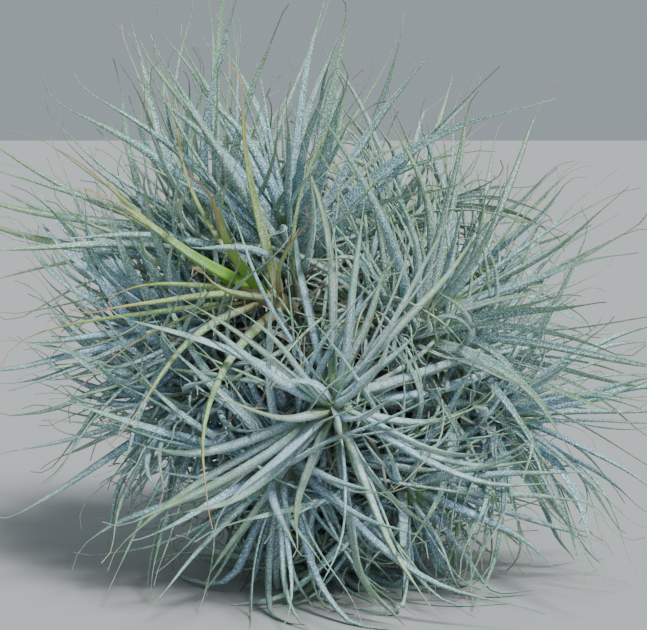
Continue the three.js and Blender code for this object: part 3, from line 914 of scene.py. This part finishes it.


# The glint colour in each table is a painted glint: near white on random scale cells, standing in for the
# sparkle of light.
SILVER_COLORS = {
    "base": (0.045, 0.17, 0.22, 1), "blade": (0.11, 0.27, 0.14, 1), "other": (0.28, 0.37, 0.07, 1),
    "heart": (0.15, 0.29, 0.04, 1), "fresh": (0.2, 0.42, 0.03, 1), "tip": (0.3, 0.24, 0.19, 1),
    "sheath": (0.13, 0.1, 0.07, 1), "throat": (0.17, 0.3, 0.04, 1), "scales": (0.32, 0.56, 0.88, 1),
    "warm_scales": (0.44, 0.62, 0.72, 1), "painted_glint": (0.86, 0.94, 1.0, 1), "cover": (1.14, 0.22),
    "sheath to": 0.08, "tip from": 0.9,
}
PALE_COLORS = {
    "base": (0.13, 0.28, 0.05, 1), "blade": (0.22, 0.37, 0.03, 1), "other": (0.32, 0.32, 0.03, 1),
    "heart": (0.08, 0.15, 0.02, 1), "fresh": (0.15, 0.33, 0.015, 1), "tip": (0.42, 0.19, 0.09, 1),
    "sheath": (0.26, 0.13, 0.08, 1), "throat": (0.2, 0.26, 0.03, 1), "scales": (0.42, 0.56, 0.5, 1),
    "warm_scales": (0.46, 0.52, 0.4, 1), "painted_glint": (0.78, 0.88, 0.84, 1), "cover": (0.6, 0.12),
    "sheath to": 0.22, "tip from": 0.55,
}
SCALE_GRAIN = 2000.0  # scales to a metre
PATCH_GRAIN = 300.0
VEINS = 19.0
DRY_TAN = (0.30, 0.27, 0.22, 1)
DRY_GREY = (0.24, 0.29, 0.26, 1)
DRY_STREAK = (0.12, 0.10, 0.075, 1)
DRY_TIP = (0.20, 0.16, 0.12, 1)
BARK_DARK = (0.055, 0.036, 0.022, 1)
BARK_LIGHT = (0.19, 0.14, 0.095, 1)
BARK_GREY = (0.25, 0.22, 0.18, 1)


# ---- The pieces ----
def visual_width(leaf, share, taper):
    """Half width, narrowing to a thread for the last of the leaf."""
    blade = max(0.0, 1 - share / THREAD_START) ** taper
    foot = min(1.0, NARROW_FOOT[0] + (1 - NARROW_FOOT[0]) * share / NARROW_FOOT[1])
    return mix((FINE_TIP, leaf["half_width"]), blade * foot) + THREAD_SPARE * max(0.0, 1 - share)


def vectors_at(wanted, known, values):
    return np.stack([np.interp(wanted, known, values[:, axis]) for axis in range(3)], axis=1)


def smooth_line(points, count):
    """Points evenly along a soft curve through the given ones, and its length up to each."""
    padded = np.vstack((2 * points[0] - points[1], points, 2 * points[-1] - points[-2]))
    found = []
    for place in np.linspace(0, len(points) - 1, 6 * len(points)):
        k = min(int(place), len(points) - 2)
        t = place - k
        a, b, c, d = padded[k:k + 4]
        bow = 2 * a - 5 * b + 4 * c - d
        rest = 3 * b - a - 3 * c + d
        found.append(0.5 * (2 * b + (c - a) * t + bow * t * t + rest * t ** 3))
    found = np.array(found)
    run = lengths_along(found)
    wanted = np.linspace(0, run[-1], count)
    return vectors_at(wanted, run, found), wanted


def thread_end(leaf):
    """Points past a leaf's tip that hook to one side, as far as there is room."""
    place = leaf["points"][-1]
    way = unit(place - leaf["points"][-2])
    upper = leaf["uppers"][-1]
    seed = leaf["seed"]
    bent = cross(way, upper) * swing(seed + 33) + upper * (THREAD_LIFT + swing(seed + 34))
    ends = []
    for turn in THREAD_TURNS:
        way = unit(way + bent * turn)
        place = place + way * (THREAD_LENGTH * leaf["length"])
        if not fits_box(place[None]):
            break
        ends.append(place)
    return ends


def as_line(leaf, rosette_name=""):
    """A leaf's line with small waves of its own, and its half widths, ending in a thread."""
    seed = leaf["seed"]
    points, run = smooth_line(np.vstack((leaf["points"], *thread_end(leaf))), LINE_POINTS)
    shares = run / leaf["length"]
    known = np.arange(len(leaf["uppers"]))
    places = np.minimum(shares, 1) * known[-1]
    uppers = vectors_at(places, known, leaf["uppers"])
    way = unit(leaf["points"][-1] - leaf["points"][-2])
    upper = leaf["uppers"][-1]
    swings = shares ** 2 * WAVE
    start = 2 * math.pi * chance(seed + 31)
    points = points + np.outer(swings * np.sin(start + WAVE_TURNS[0] * shares), cross(way, upper))
    points = points + np.outer(swings * np.sin(WAVE_START * start + WAVE_TURNS[1] * shares), upper)
    points[:, 2] -= SAG_OF.get(rosette_name, 0.0) * math.hypot(*way[:2]) * shares ** 2
    points[:, 2] = np.maximum(points[:, 2], LOWEST_MIDDLE)
    taper = TAPER_OF.get(rosette_name, BLADE_TAPER)
    broader = BROADER.get(rosette_name, 1.0) * (FRESH_BROADER if leaf.get("fresh") else 1)
    greener = GREENER * (leaf["half_width"] < THIN_LEAF)
    return {
        "points": points,
        "uppers": uppers,
        "widths": [broader * visual_width(leaf, share, taper) for share in shares],
        "tone": min(1.0, mix(TONES_OF.get(rosette_name, TONES), chance(seed + 21)) + greener),
        "young": max(0.0, 1 - YOUNG_FADE * leaf["age"]),
        "fresh": leaf.get("fresh", 0.0),
        "smooth": COAT_OF.get(rosette_name, 0.0),
    }


def core_mesh(rosette):
    """The leafy stem inside a rosette, which shows only between its leaves."""
    foot = -STEM_LENGTH - FOOT_LENGTH
    rings = [(foot, 0.05), (foot + 1, 0.7 * STEM_RADIUS), (-0.6 * STEM_LENGTH, 0.9 * STEM_RADIUS),
             (0, 0.8 * HEART_RADIUS), (0.8 * HEART_LENGTH, 0.05)]
    axis = rosette["axis"]
    side = rosette["side"]
    across = cross(axis, side)
    verts = []
    faces = []
    for ring, (height, radius) in enumerate(rings):
        for i in range(CORE_SIDES):
            angle = 2 * math.pi * i / CORE_SIDES
            spoke = side * math.cos(angle) + across * math.sin(angle)
            verts.append(((rosette["heart"] + axis * height + spoke * radius) * MM).tolist())
            if ring:
                b, c = (ring * CORE_SIDES + k % CORE_SIDES for k in (i, i + 1))
                faces.append((b - CORE_SIDES, c - CORE_SIDES, c, b))
    ends = list(range(len(verts)))
    faces += [ends[:CORE_SIDES][::-1], ends[-CORE_SIDES:]]
    mesh = bpy.data.meshes.new("core")
    mesh.from_pydata(verts, [], faces)
    mesh.shade_smooth()
    for key in (*LEAF_NUMBERS, "along", "across", "flake"):
        values = [CORE_LOOK.get(key, 0.0)] * len(verts)
        mesh.attributes.new(key, "FLOAT", "POINT").data.foreach_set("value", values)
    return mesh


def joined(first, second):
    """Both meshes as one, with the first one's materials."""
    work = bmesh.new()
    work.from_mesh(first)
    work.from_mesh(second)
    work.to_mesh(first)
    work.free()
    bpy.data.meshes.remove(second)
    return first


def make_rosettes(rosettes, leaves, placed, blades, flaking, finishes):
    for owner, rosette in enumerate(rosettes):
        name = rosette["name"]
        count = round(FURTHER_OF.get(name, FURTHER_LEAVES) * rosette["leaves"])
        further = [further_leaf(rosette, owner, index, count, placed) for index in range(count)]
        grown = leaves[owner] + [leaf for leaf in further if leaf]
        if name == "pale":
            reach = [(leaf["points"][-1] - rosette["heart"]) @ FRESH_WAY for leaf in leaves[owner]]
            for place in np.argsort(reach)[-FRESH_LEAVES:]:
                leaves[owner][place]["fresh"] = 1.0
        slot = "yellow_green_leaf" if name == "pale" else "silver_leaf"
        lines = [as_line(leaf, name) for leaf in grown]
        mesh = made_by(blades, guide_object(lines), {"Finish": finishes[slot]})
        standing = flakes_on(mesh, flaking, FLAKES_OF.get(name, 1.0), finishes[slot])
        mesh = joined(joined(mesh, standing), core_mesh(rosette))
        new_piece(name + "_leaves", mesh, slot, "rosette_" + name)


def withered_leaf(rosette, owner, index):
    """A dead leaf at a rosette's foot, folded back into the ball."""
    seed = 400000 + owner * 100 + index * 7
    turn = index * math.radians(TURN) + owner + WITHERED_TURN
    height = -STEM_LENGTH - WITHERED_VARY["root"] * swing(seed)
    return {
        **rooted(rosette, turn, height, 0.5 * STEM_RADIUS),
        **bent(WITHERED_VARY, seed, (2, 3, 4, 5), WITHERED_ANGLE),
        "owner": OLD_WOOD, "seed": seed, "age": 1,
        "length": mix(WITHERED_LENGTH, chance(seed + 1)),
        "bend_late": 1,
        "lift": WITHERED_DROOP,
        "half_width": mix(WITHERED_HALF_WIDTH, chance(seed + 6)),
    }


def make_dried_leaves(rosettes, dry, blades, finish):
    lines = [as_line(leaf) for leaf in dry]
    for owner, rosette in enumerate(rosettes):
        for index in range(WITHERED):
            leaf = withered_leaf(rosette, owner, index)
            grown = grow_leaf(leaf)
            if fits_box(grown["points"]):
                lines.append(as_line({**leaf, **grown}))
    settings = {"Finish": finish, "Channel rise": WITHERED_RISE, "Blade depth": WITHERED_DEPTH}
    new_piece("dried_leaves", made_by(blades, guide_object(lines), settings), "dry_stem", "old_stems")


def stem_guides(stem_lines):
    guides = []
    for line in stem_lines:
        points = np.array([bezier(line, share) for share in np.linspace(0, 1, STEM_POINTS)])
        uppers = np.tile(side_of(bezier_way(line, 0.5)), (STEM_POINTS, 1))
        widths = [BRANCH_RADIUS * (1 + STEM_UNEVEN * swing(points[0][0] + k)) for k in range(STEM_POINTS)]
        guides.append({"points": points, "uppers": uppers, "widths": widths})
    return guides


def wander(seed, first, down):
    """A random way, a little downwards."""
    return np.array((swing(seed + first[0]), swing(seed + first[1]), swing(seed + first[2]) - down))


def root_guides():
    """Wiry roots that wander out from the knot."""
    guides = []
    for index in range(ROOTS):
        seed = 600000 + index * 31
        way = unit(wander(seed, (0, 1, 2), 0.2))
        place = np.array((0, 0, BALL_HEIGHT)) + way * KNOT_RADIUS * 0.8
        points = [place]
        for k in range(ROOT_POINTS - 1):
            way = unit(way + ROOT_WANDER * wander(seed + k, (5, 40, 70), 0.15))
            place = place + way * ROOT_STEP
            points.append(place)
        uppers = np.tile((0.0, 0.0, 1.0), (ROOT_POINTS, 1))
        widths = [mix(ROOT_HALF_WIDTH, k / (ROOT_POINTS - 1)) for k in range(ROOT_POINTS)]
        guides.append({"points": np.array(points), "uppers": uppers, "widths": widths})
    return guides


def knot_mesh(finish):
    work = bmesh.new()
    bmesh.ops.create_icosphere(work, subdivisions=4, radius=1.0)
    for vert in work.verts:
        x, y, z = vert.co * 3.1
        lumps = math.sin(x * 1.7 + 0.5) * math.sin(y * 2.1) * math.sin(z * 1.9 + 1.1)
        size = KNOT_RADIUS * MM * (KNOT_MEAN + KNOT_LUMP * lumps)
        vert.co = vert.co * size + Vector((0, 0, BALL_HEIGHT * MM))
    mesh = bpy.data.meshes.new("knot")
    work.to_mesh(mesh)
    work.free()
    mesh.materials.append(finish)
    mesh.shade_smooth()
    return mesh


def make_old_wood(stem_lines, woods, finish):
    stems = made_by(woods, guide_object(stem_guides(stem_lines)), {"Finish": finish})
    roots = made_by(woods, guide_object(root_guides()), {
        "Finish": finish, "Section corners": 6, "Unevenness": 0.0001, "Rings": 30,
    })
    mesh = joined(joined(stems, roots), knot_mesh(finish))
    new_piece("old_wood", mesh, "dry_stem", "old_stems")


# ---- Camera, floor and light ----
CAMERA_DISTANCE = 0.95
CAMERA_RISE = 7  # degrees above level
WIDTH_SEEN = 0.2405  # across the view at the ball's middle
MIDDLE_SEEN = (325, 330)  # where the photograph shows the ball's middle
PHOTO_SIZE = (647, 630)
FLOOR_HALF = 3.0
FLOOR_COLOR = (0.38, 0.38, 0.375, 1)
ROOM_COLOR = (0.8, 0.93, 1.0, 1)
ROOM_STRENGTH = 0.4


def set_camera():
    camera = bpy.data.cameras.new("camera")
    camera.sensor_fit = "HORIZONTAL"
    camera.angle = 2 * math.atan(WIDTH_SEEN / 2 / CAMERA_DISTANCE)
    rig = linked("camera", camera)
    bpy.context.scene.camera = rig
    rise = math.radians(CAMERA_RISE)
    pixel = WIDTH_SEEN / PHOTO_SIZE[0]
    up = Vector((0, math.sin(rise), math.cos(rise)))
    away = Vector((0, math.cos(rise), -math.sin(rise)))
    aim = Vector((0, 0, BALL_HEIGHT * MM))
    aim.x -= (MIDDLE_SEEN[0] - PHOTO_SIZE[0] / 2) * pixel
    aim += up * (MIDDLE_SEEN[1] - PHOTO_SIZE[1] / 2) * pixel
    rig.location = aim - away * CAMERA_DISTANCE
    rig.rotation_euler = away.to_track_quat("-Z", "Y").to_euler()


def set_floor():
    mesh = bpy.data.meshes.new("floor")
    corners = [(-1, -1), (1, -1), (1, 1), (-1, 1)]
    mesh.from_pydata([(FLOOR_HALF * x, FLOOR_HALF * y, 0) for x, y in corners], [], [(0, 1, 2, 3)])
    material, _, surface = new_material("pale floor", roughness=0.8)
    surface.inputs["Base Color"].default_value = FLOOR_COLOR
    mesh.materials.append(material)
    floor = linked("floor", mesh)


def sun_light(name, turn, rise, strength, spread, color):
    """Even light from one side, as through a wide window."""
    light = bpy.data.lights.new(name, "SUN")
    light.energy = strength
    light.angle = math.radians(spread)
    light.color = color
    turn, rise = math.radians(turn), math.radians(rise)
    level = math.cos(rise)
    place = Vector((level * math.sin(turn), -level * math.cos(turn), math.sin(rise)))
    linked(name, light).rotation_euler = (-place).to_track_quat("-Z", "Y").to_euler()


def set_light():
    world = bpy.data.worlds.new("soft room")
    world.use_nodes = True
    sky = world.node_tree.nodes["Background"].inputs
    sky[0].default_value = ROOM_COLOR
    sky[1].default_value = ROOM_STRENGTH
    bpy.context.scene.world = world
    sun_light("key", turn=30, rise=48, strength=5.5, spread=12, color=(0.94, 0.98, 1.0))
    sun_light("fill", turn=10, rise=5, strength=0.9, spread=40, color=(0.88, 0.95, 1.0))


set_camera()
set_floor()
set_light()

leaf_finishes = {
    "silver_leaf": leaf_finish("silver leaf", SILVER_COLORS),
    "yellow_green_leaf": leaf_finish("yellow green leaf", PALE_COLORS),
}
dried = dried_finish()
bark = bark_finish()
blades = blade_tree()
woods = wood_tree()
flaking = flake_tree()

rosettes, stem_lines, leaves, dry, placed = grow_clump()
make_rosettes(rosettes, leaves, placed, blades, flaking, leaf_finishes)
make_dried_leaves(rosettes, dry, blades, dried)
make_old_wood(stem_lines, woods, bark)
